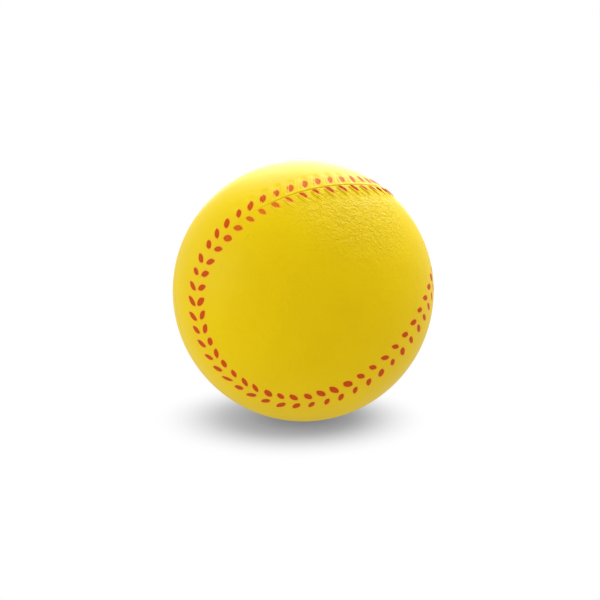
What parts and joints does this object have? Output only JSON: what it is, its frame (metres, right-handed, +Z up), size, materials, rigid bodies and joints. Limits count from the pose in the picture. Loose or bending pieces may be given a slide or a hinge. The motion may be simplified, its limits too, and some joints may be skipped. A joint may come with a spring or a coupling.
{
  "type": "training baseball",
  "caption": "Soft moulded foam training ball the size of a baseball, in yellow, with a winding seam and red stitches.",
  "frame": {"origin": "centre of the ball", "axes": "+Z up as the ball lies in the picture; -Y towards the picture's camera; +X to its right"},
  "size_m": [0.0728, 0.073, 0.073],
  "materials": {
    "cellular_foam": "open-celled polyurethane foam, matte",
    "foam_skin": "self-skinned polyurethane foam, fine leather grain, satin",
    "stitch_ink": "moulded stitches under a thin coat of red ink, satin"
  },
  "bodies": {
    "root": {"foam_core": "cellular_foam", "skin_panel_front": "foam_skin", "skin_panel_rear": "foam_skin", "stitch_row_front": "stitch_ink", "stitch_row_rear": "stitch_ink"}
  },
  "joints": []
}
